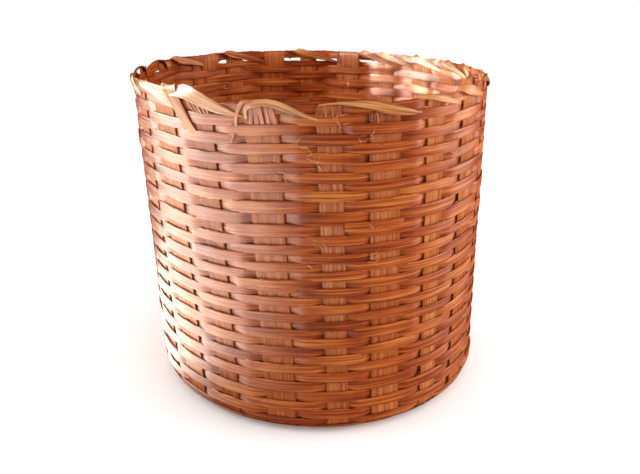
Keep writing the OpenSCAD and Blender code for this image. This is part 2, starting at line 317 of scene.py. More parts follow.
# Heights of the outer face: ridges that keep to their column and fade in and out along the splint
def fibres(rng, run, look):
    ridge = rng.normal(0, look["ridge"], look["columns"])
    size = np.ones((len(run), look["columns"]))
    for c in range(look["columns"]):
        wave = rng.uniform(*handSplit["ridgeLong"])
        size[:, c] += handSplit["ridgeFade"] * np.sin(2 * math.pi * run / wave + rng.uniform(0, 2 * math.pi))
    return ridge * size


# Uneven edge: a few seeded waves from shortest upwards, and now and then a nick
def rough(rng, run, size, shortest):
    line = np.zeros(len(run))
    for scale in handSplit["edgeWaves"]:
        phase = rng.uniform(0, 2 * math.pi)
        line += rng.normal(0, size) * np.sin(2 * math.pi * run / (shortest * scale) + phase)
    for at in rng.uniform(0, run[-1], max(1, int(run[-1] / handSplit["nickEvery"]))):
        deep = rng.uniform(0, handSplit["nickDeep"]) * size
        line -= deep * np.exp(-((run - at) / rng.uniform(*handSplit["nickLong"])) ** 2)
    return line


def twoEdges(rng, run, size, shortest):
    return np.stack([-rough(rng, run, size, shortest), rough(rng, run, size, shortest)], -1)


# How far the columns of the face reach past the two cut ends, between low and high mm
def raggedEnds(rng, look, low, high):
    return [rng.uniform(low, high, look["columns"]) * mm for end in (0, 1)]


# Rings of points [station, point, xyz] joined by quads and closed by one face at each end
def tubeMesh(name, verts, uv, tones):
    n, count = verts.shape[:2]
    i = np.arange(n - 1)[:, None] * count
    j = np.arange(count)[None]
    k = (j + 1) % count
    quads = np.stack([i + j, i + k, i + count + k, i + count + j], -1).reshape(-1, 4)
    loops = np.concatenate([quads.ravel(), np.arange(count)[::-1], (n - 1) * count + np.arange(count)])
    starts = np.concatenate([np.arange(len(quads)) * 4, [quads.size, quads.size + count]])
    totals = np.concatenate([np.full(len(quads), 4), [count, count]])
    mesh = bpy.data.meshes.new(name)
    mesh.vertices.add(n * count)
    mesh.vertices.foreach_set("co", verts.ravel().astype(np.float32))
    mesh.loops.add(len(loops))
    mesh.loops.foreach_set("vertex_index", loops.astype(np.int32))
    mesh.polygons.add(len(starts))
    mesh.polygons.foreach_set("loop_start", starts.astype(np.int32))
    mesh.polygons.foreach_set("loop_total", totals.astype(np.int32))
    mesh.update(calc_edges=True)
    uvLayer = mesh.uv_layers.new(name="splint")
    uvLayer.data.foreach_set("uv", uv.reshape(-1, 2)[loops].astype(np.float32).ravel())
    toneLayer = mesh.attributes.new("tone", "FLOAT", "POINT")
    toneLayer.data.foreach_set("value", tones.ravel().astype(np.float32))
    mesh.shade_smooth()
    mesh.validate()
    return mesh


# Sweeps a splint through its stations. heights lifts the columns of its outer face, edges moves its two
# sides, rag moves the columns of its two ends along the splint, and tone is its shade, 0.5 in the middle.
def strip(name, mid, across, out, width, thick, look, heights, edges, rag, tone, seed):
    n = len(mid)
    columns = look["columns"]
    width = np.broadcast_to(width, n)[:, None]
    faceV = np.linspace(-handSplit["faceEdge"], handSplit["faceEdge"], columns)
    innerV = np.array(handSplit["inner"])
    ringV = np.concatenate([faceV, [1], innerV, [-1]])
    ringH = np.zeros((n, len(ringV)))
    ringH[:, :columns] = thick / 2 + look["crown"] * (1 - faceV ** 2) + heights
    ringH[:, columns + 1:-1] = -thick / 2 + look["crown"] * handSplit["innerCrown"] * (1 - innerV ** 2)
    side = width / 2 * ringV + edges[:, :1] * (1 - ringV) / 2 + edges[:, 1:] * (1 + ringV) / 2
    verts = mid[:, None] + across[:, None] * side[..., None] + out[:, None] * ringH[..., None]
    if rag is not None:
        way = unit(np.gradient(mid, axis=0))
        verts[0] -= way[0] * np.interp(ringV, faceV, rag[0])[:, None]
        verts[-1] += way[-1] * np.interp(ringV, faceV, rag[1])[:, None]
    lengthwise, crosswise = handSplit["grainShift"]
    run = np.broadcast_to(runOf(mid)[:, None], side.shape)
    uv = np.stack([run + seed * lengthwise, side + seed * crosswise], -1)
    # darker towards both edges: partly stain of the cut edges, partly painted shade where the strips meet
    tones = np.broadcast_to(tone, n)[:, None] - look["edgeStainAndShade"] * ringV ** 6
    mesh = tubeMesh(name, verts, uv, tones)
    mesh.materials.append(materials[look["material"]])
    piece = bpy.data.objects.new(name, mesh)
    bpy.context.scene.collection.objects.link(piece)
    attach(piece, "root")
    return piece


rowSpans = []
for row in range(1, layout["wallRounds"] + 1):
    low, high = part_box(f"wall_weaver_{row:02d}")
    rowSpans.append((low.z, high.z))

weave = {
    "thick": 0.7 * mm, "swing": 1.1 * mm, "spacing": 2.2 * mm,
    # where its two ends lie on each other, over this many legs, a round is this much further out or in
    "lap": 0.8 * mm, "lapLegs": 2,
    "flat": 0.4,                     # share of a leg's width, each side of its middle, that stays flat
    "bow": 0.3 * mm,                 # how far a round bellies out over a leg, and half as much behind it
    "over": 0.2 * mm,                # a round is this much wider than its row,
    "spread": 1.1 * mm,              # this much wider still over and behind a leg, more or less,
    "spreadVary": (0.7, 1.2),
    "shut": 0.9 * mm,                # or this much between two legs, where it laps over its neighbour
    "ease": 0.8,                     # below 1 it is quick to widen on its way to a leg
    # size of the waves, and how many there are in a turn, from slowest to fastest
    "ownWave": (0.2 * mm, 2, 14), "tiltWave": (0.05, 6, 22), "toneWave": (0.1, 1, 9),
    "tiltOut": 0.03,
    "edge": 0.1 * mm, "edgeWave": 7 * mm, "rag": (-1, 1),
    "tones": (0.42, 0.58),
    "shadeAndGrime": 0.08,                   # painted shade and some grime where it dives between two legs
}
# All rounds wander together: slowly, and a little more from leg to leg. They also turn by so many degrees
# per metre of height, and the top one does less of it, because it has to close the rim.
wander = {"slow": (0.4 * mm, 1, 5), "legs": (0.3 * mm, 5, 12), "turn": 300, "topShare": 0.3}
slowWave = waves(np.random.default_rng(7), *wander["slow"])
legWave = waves(np.random.default_rng(8), *wander["legs"])
# The rounds run downhill towards the left of the front, more so the higher they lie, and up again at the
# left of the back
slope = {"from": 2, "to": -42, "back": -120, "backLength": 50, "drop": 5.8 * mm}
# A darker, redder length of splint in the middle of the front
darkLength = {"row": 15, "from": -4.5, "to": 16.5, "tone": -0.3}
# Thin slits above this row that let daylight in at the back, as (from angle, to angle, height)
slits = {
    "row": 33,
    "spans": [(213, 225, 2.1 * mm), (199, 210, 2.1 * mm), (183, 194, 2.3 * mm),
              (168, 182, 2.3 * mm), (152, 161, 1.3 * mm)],
}


# Offset of a round from the middle of the legs, how much each station belongs to a leg (1) or a gap (0),
# and whether it is outside there
def weaverOffsets(roundNo, angle, z, swing, lap, lapLegs):
    k, f = legPlace(angle, z)

    def offsetAt(leg):
        way = passes(roundNo, leg)
        count = leg - firstLeg(roundNo)
        further = np.where((count <= lapLegs) & (way > 0), lap, 0)
        nearer = np.where((count >= legCount) & (way < 0), lap, 0)
        return way * swing + further - nearer

    a = offsetAt(k)
    b = offsetAt(k + 1)
    pitch = np.radians(legAngle(k + 1, z) - legAngle(k, z)) * layout["rimRadius"]
    flatA = weave["flat"] * legWidths[(k - 1) % legCount] / pitch
    flatB = 1 - weave["flat"] * legWidths[k % legCount] / pitch
    # a round lies flat as long as it can, and dips right beside the leg that it passes behind
    early = np.where(a > b, lerp(flatA, flatB, 0.5), flatA)
    late = np.where(a > b, flatB, lerp(flatA, flatB, 0.5))
    turn = smooth((f - early) / (late - early))
    return lerp(a, b, turn), 0.5 + 0.5 * np.cos(2 * math.pi * f), np.where(f < 0.5, a, b) > 0


def rowHeight(row, angle):
    middle = sum(rowSpans[row - 1]) / 2
    a = fromFront(angle)
    downhill = smooth((slope["from"] - a) / (slope["from"] - slope["to"]))
    drop = slope["drop"] * rise(middle) * downhill * smooth((a - slope["back"]) / slope["backLength"])
    share = wander["topShare"] if row == layout["wallRounds"] else 1
    return middle - drop + share * (slowWave(angle + middle * wander["turn"]) + legWave(angle))


rowTone = np.random.default_rng(5).uniform(*weave["tones"], layout["wallRounds"] + 1)


def wallRound(row):
    rng = np.random.default_rng(100 + row)
    top = row == layout["wallRounds"]
    z0, z1 = rowSpans[row - 1]
    middle = (z0 + z1) / 2
    first = firstLeg(row)
    start = legAngle(first, middle)
    end = legAngle(first + legCount + weave["lapLegs"], middle)
    count = int((end - start) / math.degrees(weave["spacing"] / layout["rimRadius"]))
    angle = np.linspace(start, end, count)
    off, atLeg, outside = weaverOffsets(row, angle, middle, weave["swing"], weave["lap"], weave["lapLegs"])
    off = off + weave["bow"] * atLeg ** 2 * np.where(outside, 1, -0.5)
    z = rowHeight(row, angle) + waves(rng, *weave["ownWave"])(angle)
    spread = 0 if top else weave["spread"] * rng.uniform(*weave["spreadVary"])
    width = z1 - z0 + weave["over"] + lerp(weave["shut"], spread, atLeg ** weave["ease"])
    mid = wallPoint(angle, z, off)
    run = runOf(mid)
    across, out = frameOf(mid, radial(angle))
    tilt = (waves(rng, *weave["tiltWave"])(angle) + weave["tiltOut"])[:, None]
    across, out = across * np.cos(tilt) + out * np.sin(tilt), out * np.cos(tilt) - across * np.sin(tilt)
    edges = twoEdges(rng, run, weave["edge"], weave["edgeWave"])
    if row == slits["row"]:
        for a, b, high in slits["spans"]:
            past = (angle - a) % 360
            fade = np.clip(np.minimum(past, (b - angle) % 360), 0, 1)
            edges[:, 1] -= high * np.where(past < b - a, fade, 0)
    # painted shade and some grime between two legs, where the round dives from one side to the other
    tone = rowTone[row] + waves(rng, *weave["toneWave"])(angle) - weave["shadeAndGrime"] * (1 - atLeg) ** 2
    if row == darkLength["row"]:
        a = fromFront(angle)
        tone = tone + darkLength["tone"] * ((a > darkLength["from"]) & (a < darkLength["to"]))
    rag = raggedEnds(rng, weaverLook, *weave["rag"])
    heights = fibres(rng, run, weaverLook)
    piece = strip(f"wall_round_{row:02d}", mid, across, out, width, weave["thick"], weaverLook,
                  heights, edges, rag, tone, row)
    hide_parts(f"wall_weaver_{row:02d}")


for row in range(1, layout["wallRounds"] + 1):
    wallRound(row)
print("wall rounds woven")

splints = {
    "matSwing": 0.6 * mm,            # how far a splint stands above or below the middle of the mat
    "matStep": 0.16,                 # share of a lane that it takes from one to the other
    "ripple": 0.22 * mm,             # a leg gives way where a round passes: in under it, out over it
    "fanStations": 16, "cornerStations": 9, "matStations": 10,
    "wallFrom": 2 * mm, "wallStep": 1.9 * mm, "wallTo": 1 * mm,
    "splitLines": 4, "splitDeep": 0.25 * mm, "splitLong": (100 * mm, 300 * mm), "splitFade": 0.4,
    "edge": 0.09 * mm, "edgeWave": 9 * mm, "rag": (-2.2, 0.6),
    "tone": 0.05, "toneTurn": 40,    # radians per metre
}


# Plan ends of the part of a splint between the mat and the corner, and its angle at the corner
def fanEnds(splint):
    direction, beside, crossing, i, end, k = splint
    y = i - (beside + 1) / 2
    reach = layout["baseRadius"] - layout["cornerRadius"]
    a = math.radians(legAngle(k) - direction if end > 0 else direction + 180 - legAngle(k))
    return (np.array([end * crossing / 2 * layout["lane"], y * layout["lane"]]),
            np.array([end * reach * math.cos(a), reach * math.sin(a)]), a)


# Plan point and direction of a splint between the mat (t = 0) and the corner (t = 1)
def fanPoint(splint, t):
    direction = splint[0]
    end = splint[4]
    p0, p3, a = fanEnds(splint)
    reach = np.linalg.norm(p3 - p0) / 3
    p1 = p0 + [end * reach, 0]
    p2 = p3 - np.array([end * math.cos(a), math.sin(a)]) * reach
    t = np.asarray(t, float)[..., None]
    s = 1 - t
    p = s ** 3 * p0 + 3 * s * s * t * p1 + 3 * s * t * t * p2 + t ** 3 * p3
    d = s * s * (p1 - p0) + 2 * s * t * (p2 - p1) + t * t * (p3 - p2)

    def plan(q):
        return radial(direction) * q[..., :1] + along(direction) * q[..., 1:]
    return plan(p), unit(plan(d)), p[..., 0]


def splintWidth(splint, u):
    full = abs(fanEnds(splint)[1][0])
    return lerp(endWidth(splint[3], -1), endWidth(splint[3], 1), 0.5 + 0.5 * np.clip(u / full, -1, 1))


def ripple(k, z):
    centres = [sum(span) / 2 for span in rowSpans]
    sides = [-passes(r + 1, k) for r in range(len(centres))]
    return np.interp(z, centres, sides) * splints["ripple"]


# Stations of a splint from the mat out to its end at the rim: middle, across, outwards and width
def halfSplint(k):
    splint = legSplint(k)
    end = splint[4]
    p, way, u = fanPoint(splint, np.linspace(0, 1, splints["fanStations"]))
    down = np.tile([0.0, 0, -1], (len(p), 1))
    turned = np.stack([-way[:, 1], way[:, 0], 0 * way[:, 0]], -1)
    fan = (p + baseMiddle, end * turned, down, splintWidth(splint, u))

    bend = np.radians(np.linspace(0, 90, splints["cornerStations"])[1:])[:, None]
    r = layout["cornerRadius"]
    foot = legAngle(k)
    width = endWidth(splint[3], end)
    mid = (layout["baseRadius"] - r + r * np.sin(bend)) * radial(foot) + baseMiddle
    mid[:, 2] = layout["wallFoot"] - r * np.cos(bend[:, 0])
    corner = (mid, np.tile(end * along(foot), (len(bend), 1)),
              np.sin(bend) * radial(foot) - np.cos(bend) * [0, 0, 1], np.full(len(bend), width))

    low = layout["wallFoot"] + splints["wallFrom"]
    high = layout["rimTop"] - splints["wallTo"]
    z = np.append(np.arange(low, high, splints["wallStep"]), layout["rimTop"])
    angle = legAngle(k, z)
    wall = (wallPoint(angle, z, ripple(k, z)), end * along(angle), radial(angle), np.full(len(z), width))
    return [np.concatenate(parts) for parts in zip(fan, corner, wall)]


# Stations of a splint in the plain weave of the mat
def matSplint(k, alongY):
    splint = legSplint(k)
    direction, beside, crossing, i = splint[:4]
    lane = layout["lane"]
    u = np.linspace(crossing / 2 * lane, -crossing / 2 * lane, splints["matStations"] * crossing + 1)[1:-1]
    f = (crossing - 1) / 2 - u / lane
    n = np.clip(np.floor(f), -1, crossing - 1)

    def level(m):
        m = np.clip(m, 0, crossing - 1)
        q = m + 1 if alongY else crossing - m
        return np.where((i + q) % 2 == 1, -1, 1) * (-1 if alongY else 1) * splints["matSwing"]

    y = (i - (beside + 1) / 2) * lane
    mid = radial(direction) * u[:, None] + along(direction) * y + baseMiddle
    step = smooth((f - n - (1 - splints["matStep"]) / 2) / splints["matStep"])
    mid[:, 2] += lerp(level(n), level(n + 1), step)
    return [mid, np.tile(along(direction), (len(u), 1)), np.tile([0.0, 0, -1], (len(u), 1)),
            splintWidth(splint, u)]


def buildSplint(legs, node, seed, alongY):
    rng = np.random.default_rng(seed)
    halves = [halfSplint(k) for k in legs]
    mat = matSplint(legs[0], alongY)
    mid, across, out, width = [np.concatenate([halves[0][j][::-1], mat[j], halves[1][j]]) for j in range(4)]
    run = runOf(mid)
    heights = fibres(rng, run, uprightLook)
    # split lines that run with the grain
    fade = splints["splitFade"]
    for c in rng.choice(np.arange(2, uprightLook["columns"] - 2), splints["splitLines"], replace=False):
        wave = rng.uniform(*splints["splitLong"])
        heights[:, c] -= splints["splitDeep"] * (1 - fade + fade * np.sin(2 * math.pi * run / wave + c))
    rag = raggedEnds(rng, uprightLook, *splints["rag"])
    tone = 0.5 + rng.normal(0, splints["tone"]) + splints["tone"] * np.sin(run * splints["toneTurn"] + seed)
    edges = twoEdges(rng, run, splints["edge"], splints["edgeWave"])
    piece = strip(node.replace("splint", "stake"), mid, across, out, width, layout["splintThick"],
                  uprightLook, heights, edges, rag, tone, seed)
    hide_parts(node)


for i in range(1, layout["splintsX"] + 1):
    buildSplint((layout["splintsY"] + i, legCount + 1 - i), f"splint_x_{i:02d}", 300 + i, False)
for i in range(1, layout["splintsY"] + 1):
    buildSplint((i, layout["splintsY"] + 1 + legCount // 2 - i), f"splint_y_{i:02d}", 320 + i, True)
print("splints laid")

cornerBand = {
    "first": 19.9, "last": 75.3,     # degrees up the corner from straight below
    "width": 6.3 * mm, "lowestWidth": 5.6 * mm, "swing": 0.84 * mm, "lap": 0.4 * mm,
}
baseBand = {
    "first": 0.16, "last": 0.93,     # shares of the way from the mat to the corner
    "bunch": 0.85,                   # below 1 the outer rounds lie closer together than the inner ones
    "width": 5.4 * mm, "swing": 0.8 * mm, "lap": 0.1 * mm,
    "raised": 0.3 * mm,              # swings about a line this much above the splints' middle
    "soft": 0.4,                     # how softly it turns at a leg
}
# what both have in common; a round is wider at a leg, and narrower between two, by the share breathe
bands = {"stations": 300, "breathe": 0.03, "tones": (0.4, 0.6), "edge": 0.08 * mm}


# A round on the corner or the base. place gives its stations from the angles and offsets.
def ringPiece(name, node, roundNo, place, width, band, seed):
    rng = np.random.default_rng(seed)
    start = legAngle(firstLeg(roundNo))
    angle = np.linspace(start, start + 360, bands["stations"])
    off, atLeg = weaverOffsets(roundNo, angle, 0 * angle, band["swing"], band["lap"], 0)[:2]
    mid, out = place(angle, off)
    run = runOf(mid)
    across, out = frameOf(mid, out)
    tone = rng.uniform(*bands["tones"]) + waves(rng, *weave["toneWave"])(angle)
    width = lerp(1 - bands["breathe"], 1 + bands["breathe"], atLeg) * width
    heights = fibres(rng, run, weaverLook)
    edges = twoEdges(rng, run, bands["edge"], weave["edgeWave"])
    piece = strip(name, mid, across, out, width, weave["thick"], weaverLook,
                  heights, edges, None, tone, seed)
    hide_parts(node)


def cornerPlace(tilt):
    def place(angle, off):
        normal = math.sin(tilt) * radial(angle) - [0, 0, math.cos(tilt)]
        reach = layout["baseRadius"] - layout["cornerRadius"]
        middle = [layout["baseCentre"], 0, layout["wallFoot"]] + reach * radial(angle)
        return middle + (layout["cornerRadius"] + off)[:, None] * normal, normal
    return place


def basePlace(t):
    def place(angle, off):
        points = []
        for k, share in zip(*legPlace(angle, 0 * angle)):
            a = fanPoint(legSplint(k), t)[0]
            b = fanPoint(legSplint(k + 1), t)[0]
            points.append(lerp(a, b, lerp(share, smooth(share), baseBand["soft"])))
        mid = np.array(points).reshape(-1, 3) + baseMiddle
        mid[:, 2] -= off - baseBand["raised"]
        return mid, np.tile([0.0, 0, -1], (len(angle), 1))
    return place


for c in range(1, layout["cornerRounds"] + 1):
    share = (c - 1) / (layout["cornerRounds"] - 1)
    tilt = math.radians(lerp(cornerBand["first"], cornerBand["last"], share))
    width = cornerBand["lowestWidth"] if c == 1 else cornerBand["width"]
    roundNo = c - layout["cornerRounds"]
    ringPiece(f"corner_round_{c:02d}", f"corner_weaver_{c:02d}", roundNo, cornerPlace(tilt), width,
              cornerBand, 400 + c)
for b in range(1, layout["baseRounds"] + 1):
    share = ((b - 1) / (layout["baseRounds"] - 1)) ** baseBand["bunch"]
    t = lerp(baseBand["first"], baseBand["last"], share)
    roundNo = b - layout["cornerRounds"] - layout["baseRounds"]
    ringPiece(f"base_round_{b:02d}", f"base_weaver_{b:02d}", roundNo, basePlace(t), baseBand["width"],
              baseBand, 420 + b)
print("corner and base woven")

# The legs' ends are folded over the last round and tucked away slantwise on the other side. Each station is
# (angle, height in mm, offset in mm, width in mm, lean), where the lean turns the face from inwards (-90)
# over upwards (0) to outwards (90).
folds = {
    "thick": 0.45 * mm,
    "tucked": [
        (-43, 230, -2.0, 9, -90), (-42.6, 237, -1.4, 10.5, -60), (-41.8, 239.2, 0.6, 11, 0),
        (-41.2, 237.6, 2.6, 11, 70), (-39.2, 231, 2.9, 10, 90), (-36, 221.5, 2.7, 7.6, 90),
        (-33.4, 214, 2.2, 5.6, 90), (-31.8, 209, 0.2, 4, 90)],
    "front": [
        [(-43, 234.5, 0.8, 7, 60), (-39, 236.6, 1.4, 8.4, 50), (-35.5, 237.6, 2.0, 9, 60),
         (-32, 236.4, 2.9, 9, 80), (-28.5, 233.6, 3.1, 8.5, 90), (-24, 230.6, 3.1, 6.6, 90),
         (-20.5, 228.6, 3.0, 3.6, 90), (-18, 227.4, 2.4, 1.6, 90), (-16.5, 226.6, 1.2, 1.2, 90)],
        [(-16, 226, 2.0, 2.6, 90), (-16.2, 231, 2.6, 3.2, 90), (-15.2, 234.6, 2.8, 4, 75),
         (-12, 236.6, 2.6, 4.4, 60), (-8.5, 236.4, 2.8, 4.6, 65), (-5, 233.6, 3.1, 4.6, 85),
         (-1.8, 230.6, 3.1, 3.4, 90), (1, 228.4, 2.9, 2, 90), (3, 227, 1.2, 1.2, 90)],
        [(3, 235.4, 0.2, 1, 30), (6.5, 236.6, 0.8, 1.4, 30), (10, 237.1, 1.8, 2.4, 50),
         (14, 236.6, 2.8, 4, 75), (18, 235.2, 3.1, 6.4, 90), (22, 232.8, 3.1, 7.5, 90),
         (26, 230.4, 3.1, 5.4, 90), (30, 228.6, 2.7, 2.4, 90), (32.5, 228, 1.2, 1, 90)],
        [(28, 235, -0.4, 2, 0), (31, 236.6, 0.2, 3, 20), (34.5, 237.2, 1.6, 4, 50),
         (38, 236, 2.9, 4.4, 80), (42, 233, 3.0, 4.4, 90), (46, 230.4, 2.8, 2.6, 90),
         (48.5, 229, 1.2, 1.2, 90)],
        [(44, 231, -1.8, 8, -90), (47.5, 236.6, -0.6, 8, -20), (50, 237.2, 1.8, 8, 45),
         (54, 235, 3.0, 7, 90), (59, 231.6, 3.0, 5, 90), (63, 229, 2.4, 2.4, 90), (65, 228, 1.2, 1.2, 90)],
    ],
    # the end of the last round, which closes the rim at the left of the front
    "closing": [
        (-88, 229, 0.2, 5, 90), (-80, 231.5, 1.0, 6.5, 90), (-66, 233.4, 1.3, 7.6, 90),
        (-50, 233.2, 1.9, 8.4, 90), (-42, 232.6, 1.9, 8.2, 90), (-36, 231.6, -0.4, 7, 90),
        (-26, 231.6, -1.0, 6, 90), (-17, 231, -0.6, 5, 90)],
    # a fold anywhere else, with its angles counted from its leg
    "outward": [
        (-4, 231, -1.8, 7, -90), (-1.5, 236.2, -0.9, 7, -30), (1, 236.8, 1.0, 7, 40),
        (4.5, 234.4, 2.3, 6, 85), (10, 231, 2.4, 4.4, 90), (15, 227.6, 1.4, 1.4, 90)],
    "inward": [
        (3, 231, 1.8, 7, 90), (1, 236.2, 0.9, 7, 30), (-1, 236.8, -1.4, 7, -40),
        (-4.5, 234.4, -2.9, 6, -85), (-12, 230.6, -3.0, 4.4, -90), (-17, 227.6, -1.4, 1.4, -90)],
    "straight": [
        (0, 231, 1.8, 19, 90), (0, 236, 1.2, 19, 40), (0, 236.8, -1.2, 19, -40),
        (0, 233, -2.3, 19, -90), (0, 226, -2.1, 19, -90), (0, 222.6, -1.4, 18.5, -90)],
    "outwardAt": [72, 88, 105, -58, -75, -92, -109],
    "inwardAt": [244, 217.5, 187.5, 160.5, 153, 137, 120],
    "straightAt": [225, 196.3, 164.6],
    "frontTone": 0.55, "otherTone": 0.35,
    "edge": 0.05 * mm, "edgeWave": 9 * mm, "rag": (-0.4, 0.4),
}


# Rounds the corners of a path of stations by cutting them three times
def rounded(points):
    path = np.array(points, float)
    for turn in range(3):
        a, b = path[:-1], path[1:]
        cut = np.stack([lerp(a, b, 0.25), lerp(a, b, 0.75)], 1).reshape(-1, path.shape[1])
        path = np.concatenate([path[:1], cut, path[-1:]])
    return path


# A loose or folded end near the wall
def loosePiece(name, stations, look, thick, tone, seed, node=None):
    rng = np.random.default_rng(seed)
    angle, z, off, width, lean = rounded(stations).T
    mid = wallPoint(angle, z * mm, off * mm)
    lean = np.radians(lean)[:, None]
    across, out = frameOf(mid, np.sin(lean) * radial(angle) + np.cos(lean) * [0, 0, 1])
    run = runOf(mid)
    rag = raggedEnds(rng, look, *folds["rag"])
    edges = twoEdges(rng, run, folds["edge"], folds["edgeWave"])
    heights = fibres(rng, run, look)
    piece = strip(name, mid, across, out, width * mm, thick, look, heights, edges, rag, tone, seed)
    if node:
        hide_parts(node)


def shifted(stations, by):
    return [(a + by, *rest) for a, *rest in stations]


loosePiece("closing_end", folds["closing"], weaverLook, folds["thick"], 0.5, 519)
loosePiece("tucked_end", folds["tucked"], rimLook, folds["thick"], 0.55, 520, "tucked_splint")
foldPaths = list(folds["front"])
foldPaths += [shifted(folds["outward"], a) for a in folds["outwardAt"]]
foldPaths += [shifted(folds["inward"], a) for a in folds["inwardAt"]]
for j, stations in enumerate(foldPaths):
    tone = folds["frontTone"] if j < len(folds["front"]) else folds["otherTone"]
    loosePiece(f"rim_fold_{j + 1:02d}", stations, rimLook, folds["thick"], tone, 530 + j, "rim_lashing")
for j, angle in enumerate(folds["straightAt"]):
    stations = shifted(folds["straight"], angle)
    loosePiece(f"rim_return_{j + 1:02d}", stations, uprightLook, folds["thick"], 0.5, 560 + j, "rim_lashing")
print("rim folded")

# Splinters that have split off the legs' tops in fans. foot and top are the angles of a fan's first and last
# splinter, stray is in degrees, and heights, widths and offsets are in mm.
fans = {
    "fanB": {"count": 5, "foot": (-31.6, -27.4), "top": (-35.4, -28.5),
             "low": 223.5, "high": 235, "wide": 1.8},
    "fanC": {"count": 5, "foot": (-15, -8.2), "top": (-14.6, -9.6),
             "low": 220.5, "high": 236.2, "wide": 3.2},
    "fanD": {"count": 7, "foot": (2.6, 8.6), "top": (2.6, 8.8),
             "low": 227.5, "high": 233, "wide": 0.9},
    "fanE": {"count": 3, "foot": (17.2, 19.2), "top": (17.4, 18.0),
             "low": 221.5, "high": 231.5, "wide": 1.2},
}
splinter = {
    "thick": 0.4 * mm, "footOff": 0.6, "off": 1.5, "offStep": 0.35, "bulge": 0.3,
    "strayFoot": 0.2, "strayTop": 0.3, "shorter": 1, "tones": (-0.15, 0.1),
    "taper": [(0, 0.7), (0.35, 1), (0.8, 1), (1, 0.8)],     # share of its length, share of its width
    # one that loops back through the rounds
    "loopThick": 0.5 * mm,
    "loop": [(-14.5, 236.6, 2.6, 2.2, 60), (-16.8, 236.4, 3.2, 2.4, 80), (-18, 231, 3.3, 2.5, 90),
             (-18.8, 225.5, 3.2, 2.4, 90), (-19.2, 221.5, 1.4, 2.2, 90), (-19.5, 217.5, 0.1, 2, 90),
             (-19.8, 214.2, 2.3, 2.2, 90), (-20.6, 210.4, 2.6, 1.6, 90)],
}
for fanNo, (name, fan) in enumerate(fans.items()):
    rng = np.random.default_rng(375 + fanNo)
    for j in range(fan["count"]):
        share = j / (fan["count"] - 1)
        foot = lerp(*fan["foot"], share) + rng.uniform(-splinter["strayFoot"], splinter["strayFoot"])
        top = lerp(*fan["top"], share) + rng.uniform(-splinter["strayTop"], splinter["strayTop"])
        off = splinter["off"] + splinter["offStep"] * (j % 3)
        high = fan["high"] - rng.uniform(0, splinter["shorter"])
        offs = (splinter["footOff"], off, off + splinter["bulge"], off)
        stations = [(lerp(foot, top, s), lerp(fan["low"], high, s), o, fan["wide"] * w, 90)
                    for (s, w), o in zip(splinter["taper"], offs)]
        tone = 0.5 + rng.uniform(*splinter["tones"])
        loosePiece(f"splinter_{name}_{j + 1}", stations, weaverLook, splinter["thick"], tone, 600 + j)

# Tufts of hair-thin fibre that stand off the wall
hair = {
    # angle, height in mm, number of hairs
    "tufts": [(-1, 210, 6), (1, 201, 7), (-9, 193, 7), (-1.5, 135, 7), (1, 148, 7), (-17, 117, 6),
              (15.5, 215, 5), (46, 196, 5), (16, 158, 6), (53, 142, 5), (17, 133, 6), (8, 227, 5),
              (-26, 154, 5), (200, 120, 7), (100, 90, 6)],
    # mm, except that slant is in radians and scatter in degrees and mm
    "length": (2, 6), "slant": 1.2, "scatter": 1.6, "curl": 1.5,
    "thick": 0.2 * mm, "tone": 0.9,
    # how far round, how far up and how far along its curl each station is, then offset and width in mm
    "steps": [(0, 0, 0, 1.6, 0.3), (0.2, 0.3, 0, 2.6, 0.3),
              (0.35, 0.7, 1, 2.8, 0.25), (0.45, 1, 1, 2.4, 0.15)],
}
rng = np.random.default_rng(640)
for j, (angle, z, hairs) in enumerate(hair["tufts"]):
    for h in range(hairs):
        way = rng.uniform(-hair["slant"], hair["slant"])
        length = rng.uniform(*hair["length"])
        rootAngle = angle + rng.normal(0, hair["scatter"])
        rootHeight = z + rng.normal(0, hair["scatter"])
        curl = rng.uniform(-hair["curl"], hair["curl"])
        stations = [(rootAngle + sideways * length * math.cos(way),
                     rootHeight + up * length * math.sin(way) + bend * curl, off, wide, 90)
                    for sideways, up, bend, off, wide in hair["steps"]]
        loosePiece(f"hair_{j + 1:02d}_{h + 1}", stations, hairLook, hair["thick"], hair["tone"],
                   650 + 10 * j + h)

# Laps whose ends show on the front
lapEnds = {
    "places": [(-19.2, -4.3, 114.5), (9.5, 27, 158)],      # from angle, to angle, height in mm
    "offsets": (1.4, 1.9, 2.0, 2.0, 1.8), "width": 5.6,    # in mm
    "thick": 0.5 * mm,
}
for j, (a, b, z) in enumerate(lapEnds["places"]):
    angles = np.linspace(a, b, len(lapEnds["offsets"]))
    stations = [(angle, z, off, lapEnds["width"], 90) for angle, off in zip(angles, lapEnds["offsets"])]
    loosePiece(f"lap_end_{j + 1}", stations, weaverLook, lapEnds["thick"], 0.6, 820 + j)
loosePiece("splinter_loop", splinter["loop"], weaverLook, splinter["loopThick"], 0.55, 620)
print("splinters set")

# The table top, in metres
table = {
    "half": 9, "colour": "#ffffff", "roughness": 0.9, "gloss": 0.1,
    "glow": 0.5, "glowFrom": 0.08, "glowTo": 0.26,
}


